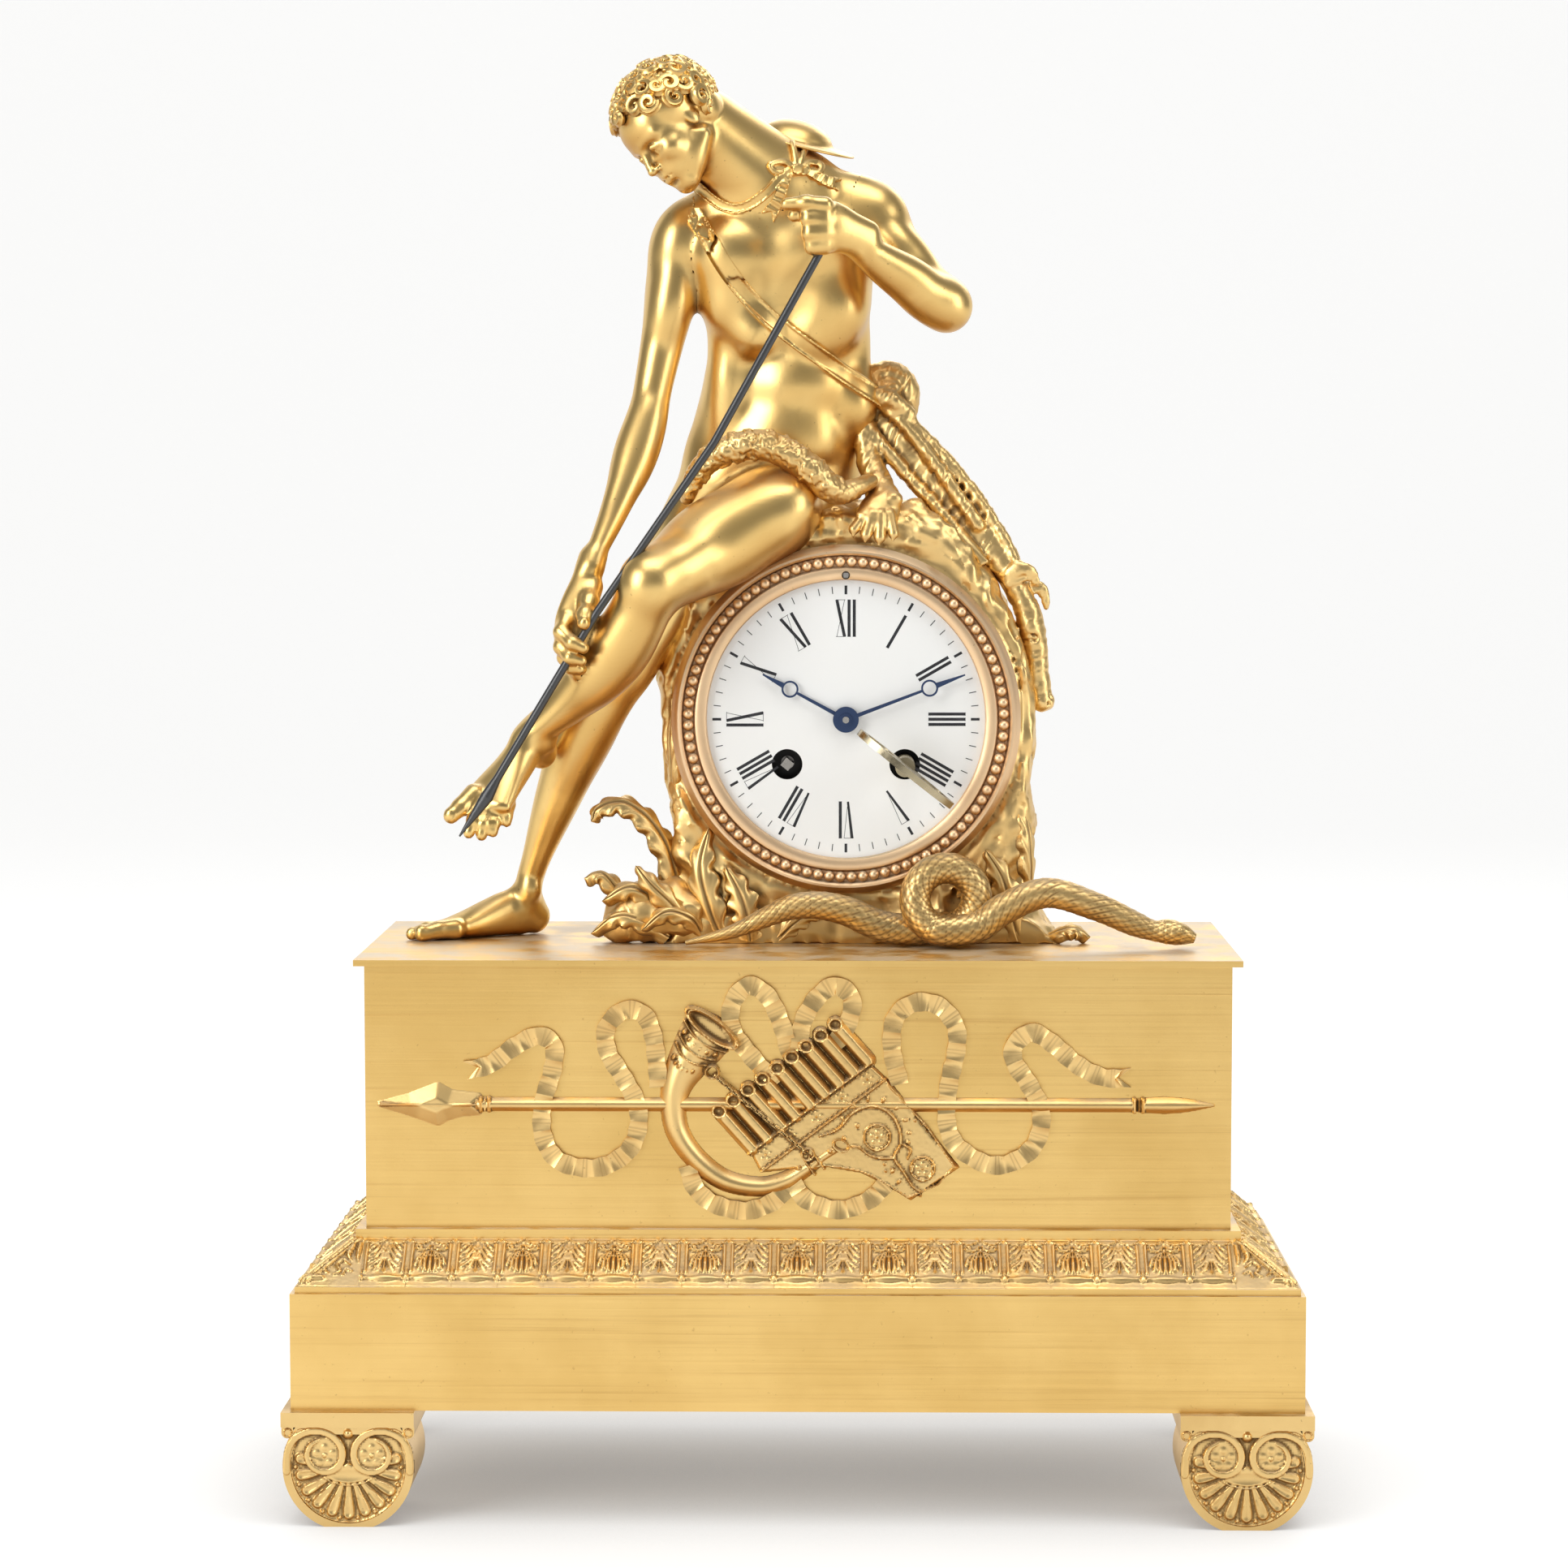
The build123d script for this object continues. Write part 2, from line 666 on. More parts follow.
with BuildPart() as dial:
    with BuildSketch(across(dial_back)):
        Circle(dial_radius)
    extrude(amount=dial_thickness)
    with BuildSketch(across(front_plate_front)):
        with PolarLocations(dial_foot_place_radius, dial_foot_count, start_angle=90):
            Circle(dial_foot_radius)
    extrude(amount=front_plate_front - dial_back)
    with BuildSketch(across(dial_back + overrun)):
        Circle(centre_hole_radius)
        with Locations(*winding_places.values()):
            Circle(winding_hole_radius)
    extrude(amount=3 * overrun, mode=Mode.SUBTRACT)
finish(dial, "dial")

# Movement frame: two round plates and five pillars
plate_sheet = 2.0
plate_gap = 30.0
back_plate_radius = 46.0
pillar_radius = 2.5
pillar_place_radius = 41.6
pillar_angles = (10, 60, 120, 170, 270)
arbor_radius = 2.4
centre_arbor_radius = 1.2
hammer_x = -38.0
hammer_rise = 16.0
hammer_arbor_radius = 1.0
pallet_rise = 41.0
pallet_arbor_radius = 1.0
regulator_arbor_radius = 1.2
minute_wheel_rise = 12.0
minute_stud_radius = 1.1
strap_width = 10.0
strap_thickness = 1.2
front_plate_back = front_plate_front + plate_sheet
back_plate_front = front_plate_back + plate_gap
back_plate_back = back_plate_front + plate_sheet
strap_place = spigot_inner_radius - loose_fit - strap_thickness
minute_stud_front = 3.2

with BuildPart() as front_plate:
    with BuildSketch(across(front_plate_back)):
        Circle(spigot_radius)
        Circle(centre_arbor_radius + running_fit, mode=Mode.SUBTRACT)
        with Locations(*winding_places.values()):
            Circle(arbor_radius + running_fit, mode=Mode.SUBTRACT)
        with Locations((hammer_x, hammer_rise)):
            Circle(hammer_arbor_radius + running_fit, mode=Mode.SUBTRACT)
        with Locations((0, pallet_rise)):
            Circle(pallet_arbor_radius + running_fit, mode=Mode.SUBTRACT)
        with Locations((0, regulator_rise)):
            Circle(regulator_arbor_radius + running_fit, mode=Mode.SUBTRACT)
        with Locations((-spigot_radius, 0), (spigot_radius, 0)):
            Rectangle(
                2 * (spigot_radius - strap_place + loose_fit), strap_width + loose_fit, mode=Mode.SUBTRACT
            )
    extrude(amount=plate_sheet)
    with BuildSketch(across(front_plate_front)):
        with Locations((0, minute_wheel_rise)):
            Circle(minute_stud_radius)
    extrude(amount=front_plate_front - minute_stud_front)
finish(front_plate, "front_plate")

with BuildPart() as back_plate:
    with BuildSketch(across(back_plate_back)):
        Circle(back_plate_radius)
        Circle(centre_arbor_radius + running_fit, mode=Mode.SUBTRACT)
        with Locations(*winding_places.values()):
            Circle(arbor_radius + running_fit, mode=Mode.SUBTRACT)
        with Locations((hammer_x, hammer_rise)):
            Circle(hammer_arbor_radius + running_fit, mode=Mode.SUBTRACT)
        with Locations((0, pallet_rise)):
            Circle(pallet_arbor_radius + running_fit, mode=Mode.SUBTRACT)
    extrude(amount=plate_sheet)
finish(back_plate, "back_plate")

with BuildPart() as movement_pillars:
    with BuildSketch(across(back_plate_front)):
        for angle in pillar_angles:
            with PolarLocations(pillar_place_radius, 1, start_angle=angle):
                Circle(pillar_radius)
    extrude(amount=plate_gap)
finish(movement_pillars, "movement_pillars")

# Rear ring: clamps to the rock's back, drawn to the bezel by two straps and screws
rear_ring_radius = 62.5
rear_opening_radius = 44.0
rear_flange = 2.5
rear_spigot_depth = 8.0
strap_front = rock_front + loose_fit
lug_depth = 6.0
lug_length = 6.5
strap_screw_radius = 1.4
strap_screw_head_radius = 2.4
strap_screw_head = 1.6
rear_ring_back = rock_back + rear_flange
strap_screw_place = strap_place + strap_thickness - lug_depth / 2

with BuildPart() as rear_ring:
    with BuildSketch(across(rear_ring_back)):
        Circle(rear_ring_radius)
        Circle(rear_opening_radius, mode=Mode.SUBTRACT)
        with Locations((-strap_screw_place, 0), (strap_screw_place, 0)):
            Circle(strap_screw_radius + running_fit, mode=Mode.SUBTRACT)
    extrude(amount=rear_flange)
    with BuildSketch(across(rock_back)):
        Circle(spigot_radius)
        Circle(spigot_inner_radius, mode=Mode.SUBTRACT)
    extrude(amount=rear_spigot_depth)
finish(rear_ring, "rear_ring")

with BuildPart() as straps:
    with BuildSketch(across(rock_back)):
        with Locations(
            (-strap_place - strap_thickness / 2, 0), (strap_place + strap_thickness / 2, 0)
        ):
            Rectangle(strap_thickness, strap_width)
    extrude(amount=rock_back - strap_front)
    with BuildSketch(across(rock_back)):
        with Locations((-strap_screw_place, 0), (strap_screw_place, 0)):
            Rectangle(lug_depth, strap_width)
            Circle(strap_screw_radius + running_fit, mode=Mode.SUBTRACT)
    extrude(amount=lug_length)
finish(straps, "straps")

with BuildPart() as strap_screws:
    with BuildSketch(across(rear_ring_back)):
        with Locations((-strap_screw_place, 0), (strap_screw_place, 0)):
            Circle(strap_screw_radius)
    extrude(amount=rear_flange + lug_length)
    with BuildSketch(across(rear_ring_back + strap_screw_head)):
        with Locations((-strap_screw_place, 0), (strap_screw_place, 0)):
            Circle(strap_screw_head_radius)
    extrude(amount=strap_screw_head)
finish(strap_screws, "strap_screws")


# A tooth's corners as shares of the pitch angle and, outward from the pitch line, of the module
tooth_shares = [(-0.29, -1.2), (-0.1, 0.9), (0.1, 0.9), (0.29, -1.2)]


def wheel_outline(teeth, module, first_angle):
    """The outline points of a toothed wheel, with one tooth centred on first_angle (degrees)."""
    pitch_radius = teeth * module / 2
    pitch_angle = 2 * pi / teeth
    points = []
    for tooth in range(teeth):
        for turn_share, rise_share in tooth_shares:
            angle = radians(first_angle) + (tooth + turn_share) * pitch_angle
            radius = pitch_radius + rise_share * module
            points.append((radius * cos(angle), radius * sin(angle)))
    return points


# Motion work: the cannon pinion turns the minute wheel, whose pinion turns the hour wheel at 1/12
cannon_teeth = 12
minute_wheel_teeth = 36
minute_pinion_teeth = 10
hour_wheel_teeth = 40
first_module = 2 * minute_wheel_rise / (cannon_teeth + minute_wheel_teeth)
second_module = 2 * minute_wheel_rise / (minute_pinion_teeth + hour_wheel_teeth)
centre_pinion_teeth = 12
great_wheel_teeth = 72
great_module = 2 * sqrt(winding_x**2 + winding_drop**2) / (centre_pinion_teeth + great_wheel_teeth)
great_angle = degrees(atan2(-winding_drop, -winding_x))
cannon_back = 9.6
cannon_front = 6.6
minute_wheel_back = 9.0
minute_wheel_front = 7.8
hour_wheel_back = 5.8
hour_wheel_front = 4.6
minute_pinion_front = 4.2
cannon_pipe_radius = 1.7
hour_pipe_radius = 2.6
hour_pipe_front = -3.4
hour_hand_back = -2.4
hand_thickness = 0.6
minute_hand_back = -4.2
centre_arbor_front = -6.6
collet_radius = 2.3
collet_thickness = 0.7
centre_pinion_gap = 2.9
centre_pinion_back = back_plate_front - centre_pinion_gap
centre_pinion_length = 6.0

with BuildPart() as centre_arbor:
    with BuildSketch(across(back_plate_back)):
        Circle(centre_arbor_radius)
    extrude(amount=back_plate_back - cannon_back)
    with BuildSketch(across(centre_pinion_back)):
        with BuildLine():
            Polyline(*wheel_outline(centre_pinion_teeth, great_module, great_angle), close=True)
        make_face()
    extrude(amount=centre_pinion_length)
    with BuildSketch(across(cannon_back)):
        with BuildLine():
            Polyline(*wheel_outline(cannon_teeth, first_module, 90), close=True)
        make_face()
    extrude(amount=cannon_back - cannon_front)
    with BuildSketch(across(cannon_front)):
        Circle(cannon_pipe_radius)
    extrude(amount=cannon_front - minute_hand_back)
    with BuildSketch(across(minute_hand_back)):
        Circle(centre_arbor_radius)
    extrude(amount=minute_hand_back - centre_arbor_front)
finish(centre_arbor, "centre_arbor")

with BuildPart() as minute_wheel:
    with BuildSketch(across(minute_wheel_back, (0, minute_wheel_rise))):
        with BuildLine():
            Polyline(
                *wheel_outline(minute_wheel_teeth, first_module, -90 + 180 / minute_wheel_teeth), close=True
            )
        make_face()
        Circle(minute_stud_radius + running_fit, mode=Mode.SUBTRACT)
    extrude(amount=minute_wheel_back - minute_wheel_front)
    with BuildSketch(across(minute_wheel_front, (0, minute_wheel_rise))):
        with BuildLine():
            Polyline(
                *wheel_outline(minute_pinion_teeth, second_module, -90 + 180 / minute_pinion_teeth), close=True
            )
        make_face()
        Circle(minute_stud_radius + running_fit, mode=Mode.SUBTRACT)
    extrude(amount=minute_wheel_front - minute_pinion_front)
finish(minute_wheel, "minute_wheel")

with BuildPart() as hour_wheel:
    with BuildSketch(across(hour_wheel_back)):
        with BuildLine():
            Polyline(*wheel_outline(hour_wheel_teeth, second_module, 90), close=True)
        make_face()
        Circle(cannon_pipe_radius + running_fit, mode=Mode.SUBTRACT)
    extrude(amount=hour_wheel_back - hour_wheel_front)
    with BuildSketch(across(hour_wheel_front)):
        Circle(hour_pipe_radius)
        Circle(cannon_pipe_radius + running_fit, mode=Mode.SUBTRACT)
    extrude(amount=hour_wheel_front - hour_pipe_front)
finish(hour_wheel, "hour_wheel")


# Hands: ring-tipped steel hands, set by their angle clockwise from twelve
hour_hand_angle = 298.5
minute_hand_angle = 69.3
hand_boss_radius = 4.7
hour_ring_place = 23.2
minute_ring_place = 32.6
hand_ring_radius = 3.1
hand_ring_width = 0.7
hour_hand_reach = 34.5
minute_hand_reach = 46.4
hand_stem_root = 1.5
hand_stem_end = 0.9
hand_tip_root = 2.0
hand_tip_end = 0.5


def hand_face(ring_place, reach):
    """The flat outline of one hand pointing along local Y."""
    with BuildSketch() as face:
        Circle(hand_boss_radius)
        with Locations((0, ring_place)):
            Circle(hand_ring_radius)
        with BuildLine():
            Polyline(
                (-hand_stem_root / 2, 0),
                (-hand_stem_end / 2, ring_place),
                (hand_stem_end / 2, ring_place),
                (hand_stem_root / 2, 0),
                close=True,
            )
        make_face()
        with BuildLine():
            Polyline(
                (-hand_tip_root / 2, ring_place + hand_ring_radius - hand_ring_width / 2),
                (-hand_tip_end / 2, reach),
                (hand_tip_end / 2, reach),
                (hand_tip_root / 2, ring_place + hand_ring_radius - hand_ring_width / 2),
                close=True,
            )
        make_face()
        with Locations((0, ring_place)):
            Circle(hand_ring_radius - hand_ring_width, mode=Mode.SUBTRACT)
    return face.sketch


with BuildPart() as hour_hand:
    with BuildSketch(across(hour_hand_back, turn=-hour_hand_angle)):
        add(hand_face(hour_ring_place, hour_hand_reach))
        Circle(hour_pipe_radius, mode=Mode.SUBTRACT)
    extrude(amount=hand_thickness)
finish(hour_hand, "hour_hand")

with BuildPart() as minute_hand:
    with BuildSketch(across(minute_hand_back, turn=-minute_hand_angle)):
        add(hand_face(minute_ring_place, minute_hand_reach))
        Circle(centre_arbor_radius, mode=Mode.SUBTRACT)
    extrude(amount=hand_thickness)
finish(minute_hand, "minute_hand")

with BuildPart() as hand_collet:
    with BuildSketch(across(minute_hand_back - hand_thickness, turn=-minute_hand_angle)):
        Circle(collet_radius)
        Circle(centre_arbor_radius, mode=Mode.SUBTRACT)
    extrude(amount=collet_thickness)
finish(hand_collet, "hand_collet")

# Barrels: toothed drums that hold the mainsprings, each on its winding arbor
barrel_radius = 16.0
barrel_gap = 1.0
great_wheel_sheet = 1.4
strike_wheel_inset = 5.6
winding_square = 3.5
winding_square_front = -0.6
key_angle = -38.7
barrel_front = front_plate_back + barrel_gap
barrel_back = back_plate_front - barrel_gap

great_wheel_backs = {"going": barrel_back - loose_fit, "strike": barrel_front + strike_wheel_inset}

for train, wheel_back in great_wheel_backs.items():
    winding_place = winding_places[train]
    with BuildPart() as barrel:
        with BuildSketch(across(barrel_back, winding_place)):
            Circle(barrel_radius)
            Circle(arbor_radius + running_fit, mode=Mode.SUBTRACT)
        extrude(amount=barrel_back - barrel_front)
        with BuildSketch(across(wheel_back, winding_place)):
            with BuildLine():
                Polyline(
                    *wheel_outline(
                        great_wheel_teeth, great_module, great_angle + 180 + 180 / great_wheel_teeth
                    ),
                    close=True,
                )
            make_face()
            Circle(arbor_radius + running_fit, mode=Mode.SUBTRACT)
        extrude(amount=great_wheel_sheet)
    finish(barrel, f"{train}_barrel")

    with BuildPart() as arbor:
        with BuildSketch(across(back_plate_back, winding_place)):
            Circle(arbor_radius)
        extrude(amount=back_plate_back - front_plate_front)
        with BuildSketch(across(front_plate_front, winding_place, key_angle)):
            Rectangle(winding_square, winding_square)
        extrude(amount=front_plate_front - winding_square_front)
    finish(arbor, f"{train}_arbor")

# Winding key: a square pipe on the striking square and a flat oval bow that lies along the axis
key_pipe_radius = 3.6
key_pipe_back = 4.0
key_pipe_front = -17.0
key_square_front = -1.4
key_bow_length = 43.0
key_bow_back = -14.0
key_bow_reach = 23.0
key_bow_thickness = 2.4
key_window_radius = 6.0
key_window_place = 12.0
strike_place = winding_places["strike"]
key_bow_angle = radians(key_angle)
key_bow_plane = Plane(
    origin=(
        dial_x + strike_place[0],
        key_bow_back - key_bow_reach / 2,
        dial_z + strike_place[1],
    ),
    x_dir=(cos(key_bow_angle), 0, sin(key_bow_angle)),
    z_dir=(-sin(key_bow_angle), 0, cos(key_bow_angle)),
)

with BuildPart() as winding_key:
    with BuildSketch(across(key_pipe_back, strike_place)):
        Circle(key_pipe_radius)
    extrude(amount=key_pipe_back - key_pipe_front)
    with BuildSketch(key_bow_plane):
        Ellipse(key_bow_length / 2, key_bow_reach / 2)
        with Locations((-key_window_place, 0), (key_window_place, 0)):
            Circle(key_window_radius, mode=Mode.SUBTRACT)
    extrude(amount=key_bow_thickness / 2, both=True)
    with BuildSketch(across(key_pipe_back, strike_place, key_angle)):
        Rectangle(winding_square + 2 * running_fit, winding_square + 2 * running_fit)
    extrude(amount=key_pipe_back - key_square_front, mode=Mode.SUBTRACT)
finish(winding_key, "winding_key")

# Regulator: a thin arbor from above twelve to the suspension cock at the back
regulator_square = 1.7
regulator_front = -4.4
regulator_back = 53.0

with BuildPart() as regulator_arbor:
    with BuildSketch(across(regulator_back, (0, regulator_rise))):
        Circle(regulator_arbor_radius)
    extrude(amount=regulator_back - dial_front)
    with BuildSketch(across(dial_front, (0, regulator_rise))):
        Rectangle(regulator_square, regulator_square)
    extrude(amount=dial_front - regulator_front)
finish(regulator_arbor, "regulator_arbor")

# Suspension cock: a bridge behind the back plate that carries the regulator and the pendulum's pin
cock_half_width = 9.0
cock_leg_radius = 1.7
cock_sheet = 1.8
cock_front = regulator_back - cock_sheet
cock_margin = 2.6
suspension_pin_radius = 1.0
suspension_pin_length = 2.4

with BuildPart() as suspension_cock:
    with BuildSketch(across(cock_front)):
        with Locations((-cock_half_width, pallet_rise), (cock_half_width, pallet_rise)):
            Circle(cock_leg_radius)
    extrude(amount=cock_front - back_plate_back)
    with BuildSketch(across(cock_front)):
        with Locations((0, pallet_rise)):
            Circle(suspension_pin_radius)
    extrude(amount=suspension_pin_length)
    with BuildSketch(across(cock_front + cock_sheet)):
        with BuildLine():
            Polyline(
                (-cock_half_width - cock_margin, pallet_rise - cock_margin),
                (cock_half_width + cock_margin, pallet_rise - cock_margin),
                (cock_half_width + cock_margin, pallet_rise + cock_margin),
                (cock_margin, regulator_rise + cock_margin),
                (-cock_margin, regulator_rise + cock_margin),
                (-cock_half_width - cock_margin, pallet_rise + cock_margin),
                close=True,
            )
        make_face()
        with Locations((0, regulator_rise)):
            Circle(regulator_arbor_radius + running_fit, mode=Mode.SUBTRACT)
    extrude(amount=cock_sheet)
finish(suspension_cock, "suspension_cock")

# Anchor: pallets between the plates and a crutch behind them, on one arbor
anchor_front = 36.0
anchor_sheet = 1.8
anchor_half_span = 8.0
anchor_drop = 9.0
anchor_arm = 2.4
crutch_front = 45.0
crutch_sheet = 1.2
crutch_width = 2.2
crutch_drop = 28.0
crutch_pin_radius = 0.7
pendulum_front = 49.2
pendulum_sheet = 1.6
pendulum_rod_width = 2.4
pendulum_eye_radius = 2.4
pendulum_length = 102.0
bob_radius = 13.0
bob_rim = 2.4
bob_thickness = 7.0
bob_shoulder = 7.8
bob_shoulder_thickness = 5.8
rod_grip = 7.0

with BuildPart() as anchor:
    with BuildSketch(across(crutch_front + crutch_sheet, (0, pallet_rise))):
        Circle(pallet_arbor_radius)
    extrude(amount=crutch_front + crutch_sheet - front_plate_front)
    with BuildSketch(across(anchor_front + anchor_sheet, (0, pallet_rise))):
        with BuildLine():
            Polyline(
                (-anchor_half_span, -anchor_drop),
                (-anchor_half_span + anchor_arm, -anchor_drop),
                (-anchor_half_span + anchor_arm, -anchor_arm),
                (anchor_half_span - anchor_arm, -anchor_arm),
                (anchor_half_span - anchor_arm, -anchor_drop),
                (anchor_half_span, -anchor_drop),
                (anchor_half_span, -anchor_arm / 2),
                (0, anchor_arm),
                (-anchor_half_span, -anchor_arm / 2),
                close=True,
            )
        make_face()
    extrude(amount=anchor_sheet)
    with BuildSketch(across(crutch_front + crutch_sheet, (0, pallet_rise))):
        with Locations((0, crutch_width / 2)):
            Rectangle(
                crutch_width, crutch_drop + crutch_width, align=(Align.CENTER, Align.MAX)
            )
    extrude(amount=crutch_sheet)
    with BuildSketch(across(pendulum_front + pendulum_sheet, (0, pallet_rise - crutch_drop))):
        Circle(crutch_pin_radius)
    extrude(amount=pendulum_front + pendulum_sheet - crutch_front)
finish(anchor, "anchor")

with BuildPart() as pendulum_rod:
    with BuildSketch(across(pendulum_front + pendulum_sheet, (0, pallet_rise))):
        Circle(pendulum_eye_radius)
        Rectangle(
            pendulum_rod_width,
            pendulum_length - bob_radius + rod_grip,
            align=(Align.CENTER, Align.MAX),
        )
        Circle(suspension_pin_radius + running_fit, mode=Mode.SUBTRACT)
        with Locations((0, -crutch_drop)):
            Circle(crutch_pin_radius + running_fit, mode=Mode.SUBTRACT)
    extrude(amount=pendulum_sheet)
finish(pendulum_rod, "pendulum_rod")

bob_z = dial_z + pallet_rise - pendulum_length
bob_middle = pendulum_front + pendulum_sheet / 2
bob_axis = Axis((dial_x, 0, bob_z), (0, 1, 0))

with BuildPart() as pendulum_bob:
    with BuildSketch(Plane(origin=(dial_x, bob_middle, bob_z), x_dir=(1, 0, 0), z_dir=(0, 0, 1))):
        with BuildLine():
            Polyline(
                (0, -bob_thickness / 2),
                (bob_shoulder, -bob_shoulder_thickness / 2),
                (bob_radius, -bob_rim / 2),
                (bob_radius, bob_rim / 2),
                (bob_shoulder, bob_shoulder_thickness / 2),
                (0, bob_thickness / 2),
                close=True,
            )
        make_face()
    revolve(axis=bob_axis)
    with Locations((dial_x, bob_middle, bob_z + bob_radius - rod_grip)):
        Box(
            pendulum_rod_width + 2 * running_fit,
            pendulum_sheet + 2 * running_fit,
            2 * bob_radius,
            align=(Align.CENTER, Align.CENTER, Align.MIN),
            mode=Mode.SUBTRACT,
        )
finish(pendulum_bob, "pendulum_bob")

# Bell, its stand and nut, and the hammer that strikes its rim
bell_rim_y = 54.5
bell_radius = 27.0
bell_shoulder_radius = 24.0
bell_shoulder_y = 61.0
bell_crown_y = 63.5
bell_crown_radius = 15.0
bell_wall = 1.1
bell_stud_radius = 1.5
bell_stud_back = 66.2
bell_nut_across = 5.5
bell_nut_height = 2.0
stand_x = 16.0
stand_drop = 9.0
stand_radius = 1.8
stand_arm_front = 56.0
stand_arm_sheet = 2.0
stand_arm_width = 3.6

with BuildPart() as bell:
    with BuildSketch(dial_section):
        with BuildLine():
            Polyline(
                (bell_radius, bell_rim_y),
                (bell_shoulder_radius, bell_shoulder_y),
                (bell_crown_radius, bell_crown_y),
                (bell_stud_radius + running_fit, bell_crown_y),
                (bell_stud_radius + running_fit, bell_crown_y - bell_wall),
                (bell_crown_radius - bell_wall / 2, bell_crown_y - bell_wall),
                (bell_shoulder_radius - bell_wall, bell_shoulder_y - bell_wall / 2),
                (bell_radius - bell_wall, bell_rim_y),
                close=True,
            )
        make_face()
    revolve(axis=dial_axis)
finish(bell, "bell")

with BuildPart() as bell_stand:
    with BuildSketch(across(stand_arm_front + stand_arm_sheet, (stand_x, -stand_drop))):
        Circle(stand_radius)
    extrude(amount=stand_arm_front + stand_arm_sheet - back_plate_back)
    with BuildSketch(
        across(stand_arm_front + stand_arm_sheet, turn=degrees(atan2(-stand_drop, stand_x)))
    ):
        Rectangle(
            sqrt(stand_x**2 + stand_drop**2), stand_arm_width, align=(Align.MIN, Align.CENTER)
        )
        Circle(stand_arm_width / 2)
    extrude(amount=stand_arm_sheet)
    with BuildSketch(across(bell_crown_y - bell_wall)):
        Circle(2 * bell_stud_radius)
    extrude(amount=bell_crown_y - bell_wall - stand_arm_front)
    with BuildSketch(across(bell_stud_back)):
        Circle(bell_stud_radius)
    extrude(amount=bell_stud_back - stand_arm_front)
finish(bell_stand, "bell_stand")

with BuildPart() as bell_nut:
    with BuildSketch(across(bell_crown_y + bell_nut_height)):
        RegularPolygon(bell_nut_across / 2, 6, major_radius=False)
        Circle(bell_stud_radius + running_fit, mode=Mode.SUBTRACT)
    extrude(amount=bell_nut_height)
finish(bell_nut, "bell_nut")

hammer_front = 56.4
hammer_sheet = 2.0
hammer_arm_width = 2.2
hammer_head_width = 4.0
hammer_head_height = 7.0
hammer_head_drop = 3.0
hammer_clearance = 0.6
hammer_head_x = -bell_radius - hammer_clearance - hammer_head_width / 2

with BuildPart() as hammer:
    with BuildSketch(across(hammer_front + hammer_sheet, (hammer_x, hammer_rise))):
        Circle(hammer_arbor_radius)
    extrude(amount=hammer_front + hammer_sheet - front_plate_front)
    with BuildSketch(across(hammer_front + hammer_sheet)):
        with BuildLine():
            Polyline(
                (hammer_x - hammer_arm_width / 2, hammer_rise + hammer_arm_width / 2),
                (hammer_x + hammer_arm_width / 2, hammer_rise + hammer_arm_width / 2),
                (hammer_head_x + hammer_arm_width / 2, -hammer_head_drop),
                (hammer_head_x - hammer_arm_width / 2, -hammer_head_drop),
                close=True,
            )
        make_face()
        with Locations((hammer_head_x, -hammer_head_drop)):
            Rectangle(hammer_head_width, hammer_head_height)
    extrude(amount=hammer_sheet)
finish(hammer, "hammer")

# Rear door: a brass dust cover hinged on the rear ring
door_radius = 46.0
door_sheet = 1.2
door_gap = 0.3
knuckle_radius = 1.4
knuckle_x = 47.6
knuckle_length = 5.0
knuckle_gap = 0.2
knuckle_start = 4.0
door_tongue = 4.0
hinge_pin_radius = 0.6
door_front = rear_ring_back + door_gap
door_back = door_front + door_sheet
knuckle_y = rear_ring_back + knuckle_radius + running_fit
fixed_knuckle_start = knuckle_start + knuckle_length + knuckle_gap
hinge_reach = fixed_knuckle_start + knuckle_length


def knuckle_plane(rise):
    """The level plane at a height from the dial centre, with its origin on the hinge axis."""
    return Plane(
        origin=(dial_x + knuckle_x, knuckle_y, dial_z + rise), x_dir=(1, 0, 0), z_dir=(0, 0, 1)
    )


with BuildPart() as rear_door:
    with BuildSketch(across(door_back)):
        Circle(door_radius)
    extrude(amount=door_sheet)
    for start in (knuckle_start, -knuckle_start - knuckle_length):
        with BuildSketch(knuckle_plane(start)):
            Circle(knuckle_radius)
            with Locations((0, door_front - knuckle_y)):
                Rectangle(door_tongue, door_sheet, align=(Align.MAX, Align.MIN))
            Circle(hinge_pin_radius + running_fit, mode=Mode.SUBTRACT)
        extrude(amount=knuckle_length)
finish(rear_door, "rear_door")

with BuildPart() as door_hinge:
    for start in (fixed_knuckle_start, -hinge_reach):
        with BuildSketch(knuckle_plane(start)):
            Circle(knuckle_radius)
            with Locations((0, rear_ring_back - knuckle_y)):
                Rectangle(2 * knuckle_radius, knuckle_radius, align=(Align.MIN, Align.MIN))
        extrude(amount=knuckle_length)
    with BuildSketch(knuckle_plane(-hinge_reach)):
        Circle(hinge_pin_radius)
    extrude(amount=2 * hinge_reach)
finish(door_hinge, "door_hinge")

# Figure: a youth who sits against the rock; places in per cent of the height from plate to crown
figure_height = 325.0
figure_percent = figure_height / 100
torso_shares = [
    (-3.5, 8.6, 47.5, 6.4, 4.6),
    (-3.4, 8.6, 53.7, 9.9, 6.2),
    (-1.9, 8.3, 60.4, 9.3, 5.8),
    (-0.3, 7.7, 66.0, 8.6, 5.3),
    (-1.3, 6.2, 71.5, 9.7, 5.9),
    (-2.2, 4.9, 76.9, 11.0, 6.2),
    (-3.2, 4.3, 82.2, 9.8, 4.9),
    (-4.4, 3.9, 85.2, 5.0, 3.4),
]
neck_shares = [(-4.9, 3.9, 83.4, 3.9, 3.6), (-7.8, 2.3, 87.4, 3.5, 3.4), (-11.6, 0.4, 91.4, 3.4, 3.4)]
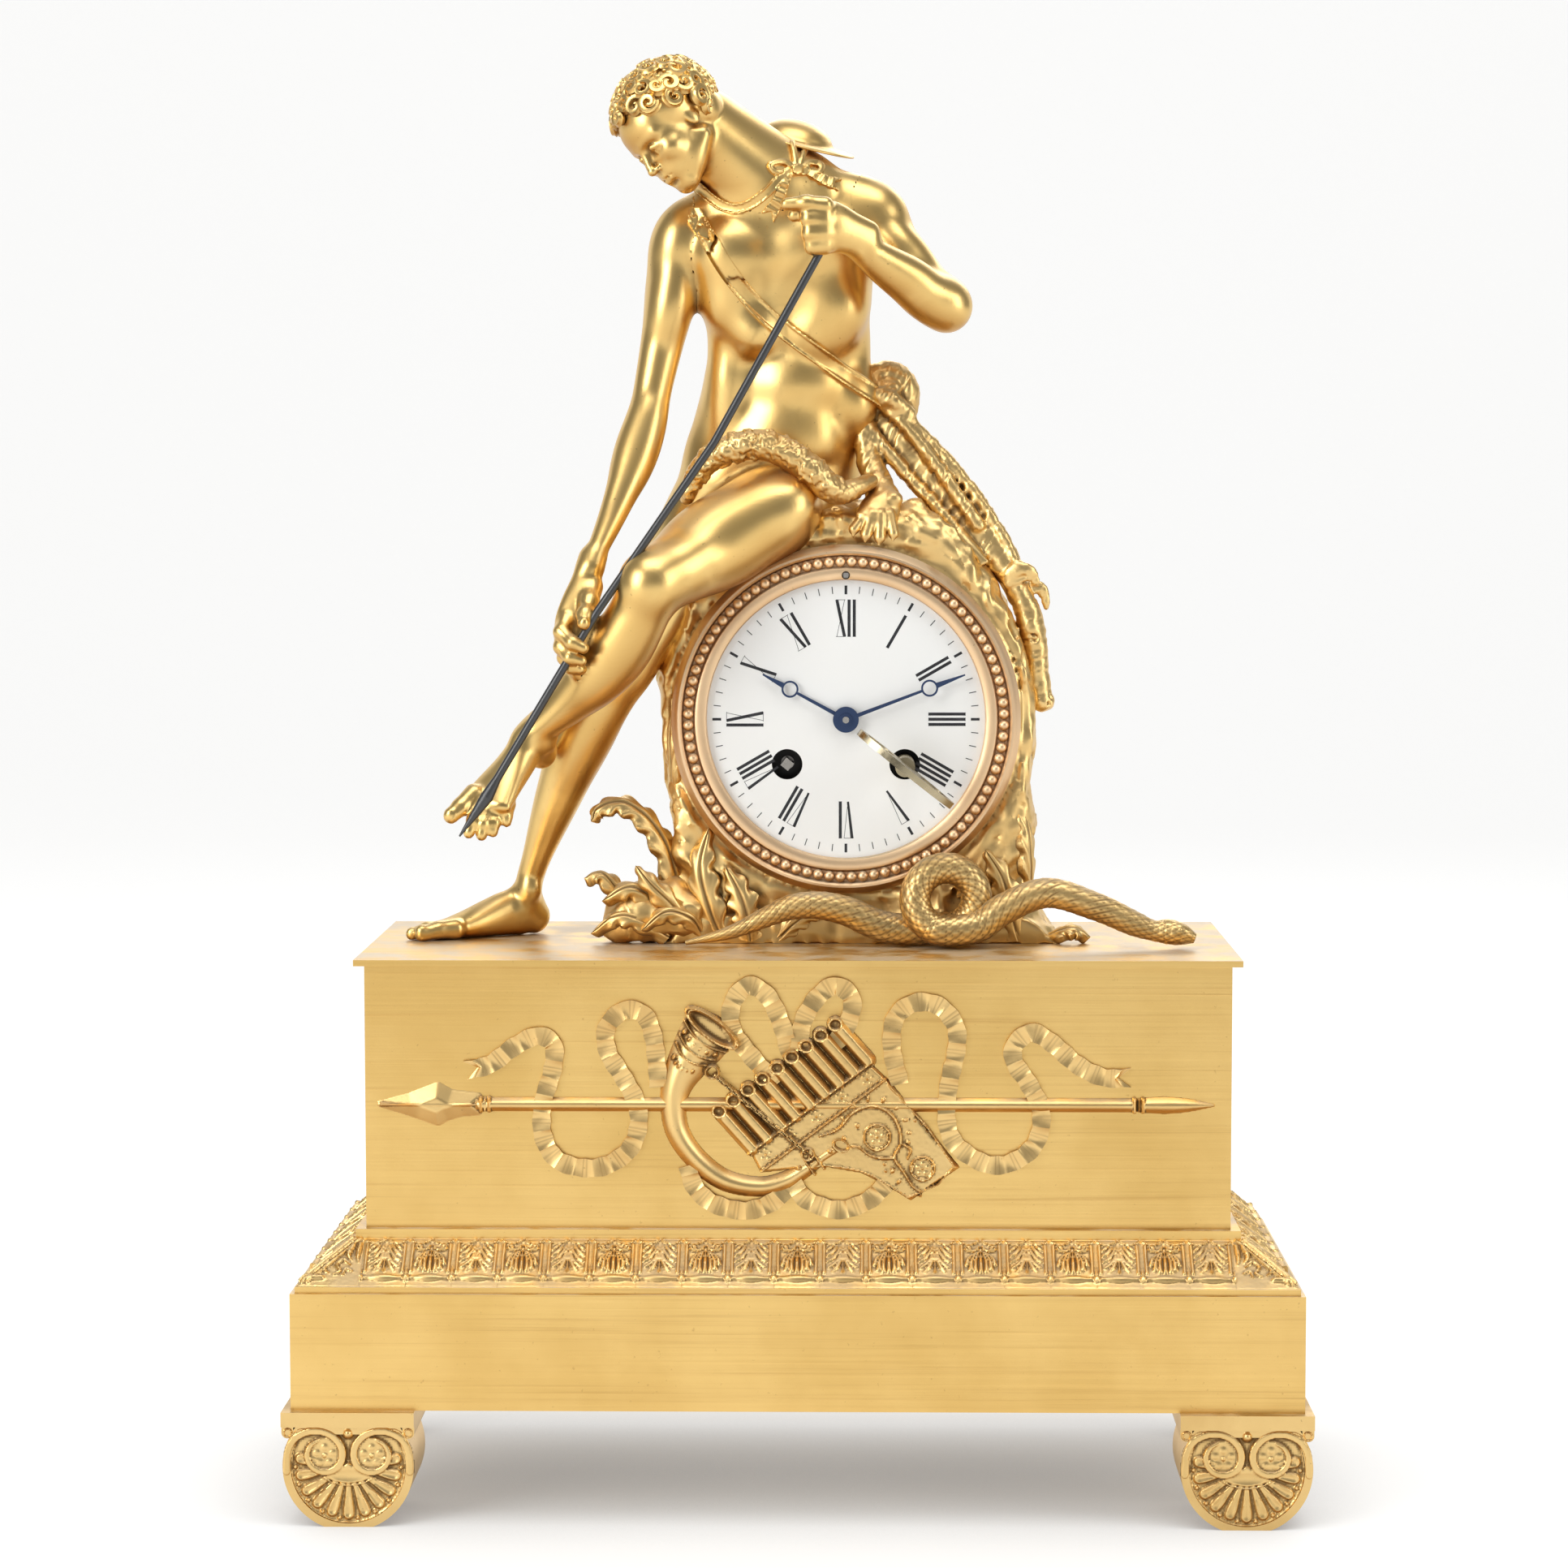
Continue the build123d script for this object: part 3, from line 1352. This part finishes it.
head_shares = [
    (-12.2, -4.3, 83.6, 1.4, 1.8),
    (-12.9, -3.2, 85.8, 3.4, 4.2),
    (-13.8, -1.9, 89.0, 5.2, 5.8),
    (-14.5, -1.2, 92.5, 6.4, 6.7),
    (-14.8, -0.9, 95.8, 6.3, 6.7),
    (-15.0, -0.6, 98.4, 4.6, 5.0),
    (-15.1, -0.6, 99.8, 2.0, 2.2),
]
right_arm_shares = [
    (-10.8, 4.6, 82.2, 2.2, 2.2),
    (-12.7, 4.5, 80.2, 3.5, 3.5),
    (-14.0, 4.2, 76.5, 3.4, 3.6),
    (-15.1, 3.7, 69.6, 2.8, 2.9),
    (-16.6, 2.5, 61.7, 2.4, 2.4),
    (-18.6, -0.6, 54.1, 2.3, 2.2),
    (-22.4, -5.2, 44.2, 1.3, 1.5),
    (-23.7, -7.6, 40.0, 1.9, 1.5),
    (-24.0, -9.4, 36.6, 1.7, 1.5),
    (-23.2, -10.6, 33.6, 0.9, 1.0),
]
left_upper_arm_shares = [
    (5.2, 5.4, 84.6, 2.2, 2.4),
    (7.4, 5.4, 82.8, 3.6, 3.6),
    (12.3, 3.7, 76.6, 2.8, 2.9),
    (16.2, 1.2, 71.4, 2.6, 2.6),
    (17.2, 0.4, 69.9, 1.7, 1.9),
]
left_forearm_shares = [
    (17.3, 0.8, 69.4, 1.3, 1.7),
    (16.2, 0.6, 70.3, 2.5, 2.6),
    (12.2, -1.8, 74.0, 2.5, 2.5),
    (6.6, -4.9, 77.9, 1.5, 1.9),
    (4.6, -6.0, 78.8, 2.5, 2.3),
    (1.6, -7.2, 79.5, 2.6, 2.4),
    (0.2, -7.6, 79.7, 1.8, 1.7),
]
standing_leg_shares = [
    (-6.4, 9.4, 56.5, 3.6, 3.6),
    (-7.5, 9.2, 52.8, 5.6, 5.6),
    (-12.6, 6.2, 44.0, 5.1, 5.2),
    (-18.5, 1.2, 33.1, 3.8, 3.8),
    (-21.8, 2.2, 28.0, 3.8, 3.8),
    (-25.0, 3.7, 22.9, 4.0, 4.0),
    (-28.4, 6.2, 14.3, 2.9, 2.9),
    (-31.2, 8.3, 6.6, 2.0, 2.2),
    (-31.7, 8.9, 3.0, 2.0, 2.4),
]
standing_foot_shares = [
    (-29.3, 11.5, 1.6, 1.5, 1.2),
    (-30.4, 10.6, 2.0, 2.2, 1.9),
    (-32.5, 9.0, 2.4, 2.6, 2.1),
    (-35.6, 6.9, 2.0, 2.2, 2.2),
    (-39.4, 4.0, 1.2, 1.5, 2.5),
    (-42.5, 1.8, 0.7, 0.9, 2.4),
    (-44.3, 0.6, 0.4, 0.6, 1.5),
]
crossed_thigh_shares = [
    (2.2, 9.6, 50.6, 4.2, 4.4),
    (-0.1, 7.4, 50.0, 5.8, 5.8),
    (-7.7, 0.0, 45.9, 5.4, 5.4),
    (-13.4, -6.2, 42.3, 4.3, 4.4),
    (-16.0, -8.8, 40.8, 3.7, 3.8),
    (-17.4, -10.0, 39.9, 2.2, 2.4),
]
crossed_shin_shares = [
    (-14.8, -8.6, 43.0, 2.6, 2.8),
    (-16.0, -8.6, 40.4, 4.2, 4.0),
    (-19.7, -6.8, 33.4, 3.9, 3.8),
    (-25.7, -4.3, 27.4, 2.8, 2.8),
    (-30.0, -2.7, 23.7, 2.1, 2.1),
    (-31.0, -2.6, 22.4, 2.0, 2.0),
]
crossed_foot_shares = [
    (-29.8, -0.9, 24.4, 1.6, 1.4),
    (-30.8, -2.6, 22.6, 2.3, 2.0),
    (-33.0, -5.0, 19.3, 2.3, 1.9),
    (-35.2, -7.6, 15.6, 2.5, 1.3),
    (-36.2, -9.0, 13.6, 1.8, 0.8),
]


def figure_run(shares):
    """One limb run of the figure, from its table."""
    return tapered_solid(shares, figure_percent, plate_top)


below_plate = Box(plate_width, plate_width, plate_top, align=(Align.CENTER, Align.CENTER, Align.MIN))

# Rod: a dark arrow held by its top in the raised fist and guided by the hanging hand
rod_shares = [
    (3.1, -7.7, 78.2, 0.45, 0.45),
    (-9.2, -9.2, 56.2, 0.45, 0.45),
    (-22.1, -10.5, 37.6, 0.45, 0.45),
    (-33.0, -11.3, 19.5, 0.45, 0.45),
    (-34.2, -11.4, 17.4, 0.74, 0.6),
    (-37.2, -11.7, 13.1, 0.1, 0.1),
]

with BuildPart() as hunting_rod:
    add(figure_run(rod_shares))
finish(hunting_rod, "hunting_rod")

with BuildPart() as figure_torso:
    add(figure_run(torso_shares))
    add(figure_run(neck_shares))
    add(rock_case.part, mode=Mode.SUBTRACT)
finish(figure_torso, "figure_torso")

with BuildPart() as figure_head:
    add(figure_run(head_shares))
    add(figure_torso.part, mode=Mode.SUBTRACT)
finish(figure_head, "figure_head")

with BuildPart() as figure_standing_leg:
    add(figure_run(standing_leg_shares))
    add(figure_run(standing_foot_shares))
    add(below_plate, mode=Mode.SUBTRACT)
    add(figure_torso.part, mode=Mode.SUBTRACT)
    add(rock_case.part, mode=Mode.SUBTRACT)
finish(figure_standing_leg, "figure_standing_leg")

with BuildPart() as figure_crossed_leg:
    add(figure_run(crossed_thigh_shares))
    add(figure_run(crossed_shin_shares))
    add(figure_run(crossed_foot_shares))
    for neighbour in (figure_torso, figure_standing_leg, rock_case, bezel, hunting_rod):
        add(neighbour.part, mode=Mode.SUBTRACT)
finish(figure_crossed_leg, "figure_crossed_leg")

with BuildPart() as figure_right_arm:
    add(figure_run(right_arm_shares))
    for neighbour in (figure_torso, figure_standing_leg, figure_crossed_leg, hunting_rod):
        add(neighbour.part, mode=Mode.SUBTRACT)
finish(figure_right_arm, "figure_right_arm")

with BuildPart() as figure_left_arm:
    add(figure_run(left_upper_arm_shares))
    add(figure_run(left_forearm_shares))
    for neighbour in (figure_torso, hunting_rod):
        add(neighbour.part, mode=Mode.SUBTRACT)
finish(figure_left_arm, "figure_left_arm")

# Belt over the figure's right shoulder, which lies on the torso
belt_thickness = 1.2
belt_width = 6.4
belt_reach = 60.0
belt_shares = [(-16.0, 87.4), (-12.2, 82.5), (-7.4, 74.6), (-1.6, 68.8), (7.6, 62.5), (13.5, 59.4)]
torso_places = [
    (figure_percent * x, figure_percent * y, plate_top + figure_percent * z)
    for x, y, z, wide, deep in torso_shares
]
torso_half_widths = [figure_percent * wide for x, y, z, wide, deep in torso_shares]
torso_half_depths = [figure_percent * deep for x, y, z, wide, deep in torso_shares]

with BuildPart() as shoulder_strap:
    add(
        tapered_run(
            torso_places,
            [wide + belt_thickness for wide in torso_half_widths],
            [deep + belt_thickness for deep in torso_half_depths],
        )
    )
    with BuildSketch(Plane.XZ):
        with BuildLine():
            Spline(*[(figure_percent * x, plate_top + figure_percent * z) for x, z in belt_shares])
        trace(line_width=belt_width)
    extrude(amount=belt_reach, both=True, mode=Mode.INTERSECT)
    for neighbour in (figure_torso, figure_head, figure_right_arm, figure_left_arm, rock_case):
        add(neighbour.part, mode=Mode.SUBTRACT)
finish(shoulder_strap, "shoulder_strap")

# Hat: a round traveller's hat that hangs on the back from a ribbon round the neck
hat_place_share = (0.2, 6.6, 86.4)
hat_axis_share = (-0.15, 0.85, 0.5)
brim_radius = 22.0
brim_thickness = 1.4
crown_radius = 14.0
crown_shoulder_radius = 11.0
crown_shoulder = 8.0
crown_top_radius = 3.5
crown_height = 12.0
hat_place = (
    figure_percent * hat_place_share[0],
    figure_percent * hat_place_share[1],
    plate_top + figure_percent * hat_place_share[2],
)
hat_plane = Plane(origin=hat_place, x_dir=(1, 0, 0), z_dir=hat_axis_share)

with BuildPart() as sun_hat:
    with BuildSketch(hat_plane):
        Circle(brim_radius)
    extrude(amount=brim_thickness)
    with BuildSketch(hat_plane):
        Circle(crown_radius)
    with BuildSketch(hat_plane.offset(crown_shoulder)):
        Circle(crown_shoulder_radius)
    with BuildSketch(hat_plane.offset(crown_height)):
        Circle(crown_top_radius)
    loft(ruled=True)
    add(figure_torso.part, mode=Mode.SUBTRACT)
    add(shoulder_strap.part, mode=Mode.SUBTRACT)
finish(sun_hat, "sun_hat")

neck_ribbon_shares = [
    (-10.2, 1.8, 83.9, 0.5, 0.6),
    (-9.0, 0.0, 82.4, 0.6, 0.6),
    (-6.7, -0.6, 81.6, 0.6, 0.6),
    (-4.3, -0.3, 82.7, 0.6, 0.6),
    (-2.6, 0.2, 84.2, 0.6, 0.6),
    (0.2, 1.0, 85.2, 1.3, 0.9),
    (1.3, 2.4, 85.9, 0.9, 0.8),
    (1.2, 5.0, 86.2, 0.8, 0.8),
    (0.6, 8.6, 86.0, 0.7, 0.8),
]

with BuildPart() as neck_ribbon:
    add(figure_run(neck_ribbon_shares))
    for neighbour in (figure_torso, figure_head, figure_left_arm, shoulder_strap, sun_hat):
        add(neighbour.part, mode=Mode.SUBTRACT)
finish(neck_ribbon, "neck_ribbon")

# Pelts: a fur roll over the lap, and a skin that hangs down the rock with its head and one paw,
# with its heights told from the rock's top
loin_pelt_shares = [
    (-12.8, 1.0, 48.2, 1.2, 1.4),
    (-11.6, 1.2, 51.2, 1.3, 1.6),
    (-7.8, 1.2, 55.0, 1.45, 1.9),
    (-2.2, 0.8, 56.1, 1.6, 2.0),
    (1.4, 1.2, 53.2, 1.8, 2.0),
    (5.0, 2.5, 50.9, 1.8, 2.0),
    (8.0, 3.4, 50.4, 1.6, 1.6),
]
skin_shares = [
    (12.6, 9.4, 16.8, 1.8, 1.6),
    (12.4, 9.0, 14.4, 3.3, 2.6),
    (11.4, 7.2, 9.6, 4.8, 2.6),
    (14.0, 6.6, 5.4, 4.6, 2.4),
    (17.9, 6.2, 1.3, 3.8, 2.2),
    (23.4, 5.5, -6.1, 2.8, 1.9),
    (26.4, 4.9, -12.3, 2.2, 1.7),
    (27.2, 4.6, -17.2, 1.9, 1.5),
    (27.7, 4.3, -22.6, 1.4, 1.2),
]
paw_shares = [
    (10.2, 5.6, 10.8, 2.6, 2.0),
    (8.4, 2.8, 5.8, 2.7, 1.9),
    (8.5, 0.8, 1.3, 2.2, 1.6),
    (8.6, -0.2, -1.8, 2.6, 1.3),
    (8.5, -0.8, -3.8, 1.9, 0.8),
]

with BuildPart() as loin_pelt:
    add(figure_run(loin_pelt_shares))
    for neighbour in (figure_torso, figure_crossed_leg, figure_standing_leg, rock_case, hunting_rod):
        add(neighbour.part, mode=Mode.SUBTRACT)
finish(loin_pelt, "loin_pelt")

with BuildPart() as animal_skin:
    add(tapered_solid(skin_shares, figure_percent, plate_top + rock_height))
    add(tapered_solid(paw_shares, figure_percent, plate_top + rock_height))
    for neighbour in (figure_torso, loin_pelt, shoulder_strap, rock_case, bezel):
        add(neighbour.part, mode=Mode.SUBTRACT)
finish(animal_skin, "animal_skin")

# Snake: its tail and head lie on the plate and its body makes one loop before the rock
snake_tail_shares = [
    (-12.7, -4.3, 0.4, 0.3, 0.3),
    (-7.7, -4.3, 1.8, 0.85, 0.85),
    (-3.7, -4.1, 3.7, 1.2, 1.2),
    (-0.9, -4.0, 4.8, 1.45, 1.45),
    (5.0, -4.0, 4.3, 1.7, 1.7),
    (10.5, -3.9, 1.8, 1.8, 1.8),
    (14.2, -4.0, 1.75, 1.8, 1.8),
]
snake_head_shares = [
    (18.5, -4.1, 2.1, 1.8, 1.8),
    (22.3, -4.0, 4.2, 1.8, 1.8),
    (27.7, -4.3, 6.3, 1.75, 1.75),
    (33.1, -4.9, 4.7, 1.7, 1.7),
    (37.6, -5.2, 2.7, 1.6, 1.6),
    (39.7, -5.4, 1.95, 1.3, 1.3),
    (42.0, -5.5, 1.8, 1.6, 1.8),
    (44.2, -5.6, 1.2, 0.7, 1.0),
]
snake_loop_share = (16.4, -4.3, 5.4)
snake_loop_radius = 11.3
snake_body_radius = 5.8
snake_loop_place = (
    figure_percent * snake_loop_share[0],
    figure_percent * snake_loop_share[1],
    plate_top + figure_percent * snake_loop_share[2],
)

with BuildPart() as snake:
    add(figure_run(snake_tail_shares))
    add(figure_run(snake_head_shares))
    with Locations(snake_loop_place):
        Torus(snake_loop_radius, snake_body_radius, rotation=(90, 0, 0))
    add(below_plate, mode=Mode.SUBTRACT)
    add(rock_case.part, mode=Mode.SUBTRACT)
    add(bezel.part, mode=Mode.SUBTRACT)
finish(snake, "snake")

# Leaf: a curled acanthus leaf on a clump at the rock's foot
leaf_shares = [
    (-13.0, 2.5, 0.2, 2.6, 1.4),
    (-13.9, 2.5, 4.5, 1.9, 1.2),
    (-15.1, 2.0, 9.5, 2.1, 1.1),
    (-17.0, 1.6, 13.6, 2.1, 1.0),
    (-20.2, 1.0, 16.0, 1.7, 0.9),
    (-23.0, 0.6, 15.6, 1.0, 0.7),
]
clump_shares = [
    (-13.0, 1.2, 3.2, 3.2, 3.0),
    (-17.0, 1.2, 4.2, 4.1, 3.4),
    (-20.0, 1.0, 3.0, 3.2, 2.8),
    (-22.0, 0.8, 1.8, 1.6, 1.6),
]

with BuildPart() as leaf_frond:
    add(figure_run(leaf_shares))
    add(figure_run(clump_shares))
    for neighbour in (rock_case, snake, bezel):
        add(neighbour.part, mode=Mode.SUBTRACT)
    add(below_plate, mode=Mode.SUBTRACT)
finish(leaf_frond, "leaf_frond")
